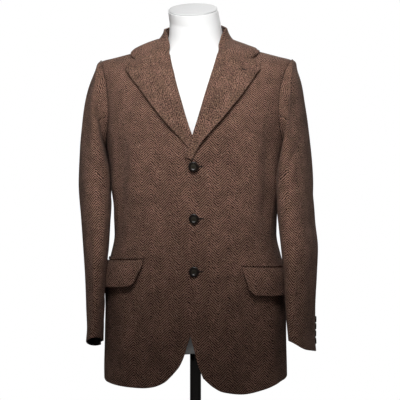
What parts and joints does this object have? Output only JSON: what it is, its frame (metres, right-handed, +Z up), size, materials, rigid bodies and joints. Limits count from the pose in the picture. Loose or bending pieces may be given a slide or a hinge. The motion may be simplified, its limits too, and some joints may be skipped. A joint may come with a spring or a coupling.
{
  "type": "tweed hacking jacket on a limbless dress form with stand",
  "caption": "Single-breasted herringbone tweed jacket with notched lapels and flap pockets, buttoned on a white dress form that stands on a chrome pole and round base.",
  "frame": {"origin": "centre of the base's underside, on the pole's axis", "axes": "+Z up, -Y towards the jacket's front, +X towards the wearer's left"},
  "size_m": [0.5434, 0.33, 1.119],
  "materials": {
    "tweed": "brown wool herringbone tweed, dry and slightly hairy",
    "button": "dark brown, domed, softly shining",
    "form": "smooth white",
    "cap": "smooth light grey",
    "chrome": "polished"
  },
  "bodies": {
    "root": {"front_right": "tweed", "front_left": "tweed", "side_right": "tweed", "side_left": "tweed", "back_right": "tweed", "back_left": "tweed", "lapel_right": "tweed", "lapel_left": "tweed", "collar_stand": "tweed", "collar_fall": "tweed", "flap_right": "tweed", "flap_left": "tweed", "jet_right": "tweed", "jet_left": "tweed", "sleeve_top_right": "tweed", "sleeve_under_right": "tweed", "sleeve_top_left": "tweed", "sleeve_under_left": "tweed", "front_button_1": "button", "front_button_2": "button", "front_button_3": "button", "cuff_button_left_1": "button", "cuff_button_left_2": "button", "cuff_button_left_3": "button", "cuff_button_left_4": "button", "cuff_button_right_1": "button", "cuff_button_right_2": "button", "cuff_button_right_3": "button", "cuff_button_right_4": "button", "form_torso": "form", "form_neck_cap": "cap", "stand_pole": "chrome", "stand_base": "chrome"}
  },
  "joints": []
}
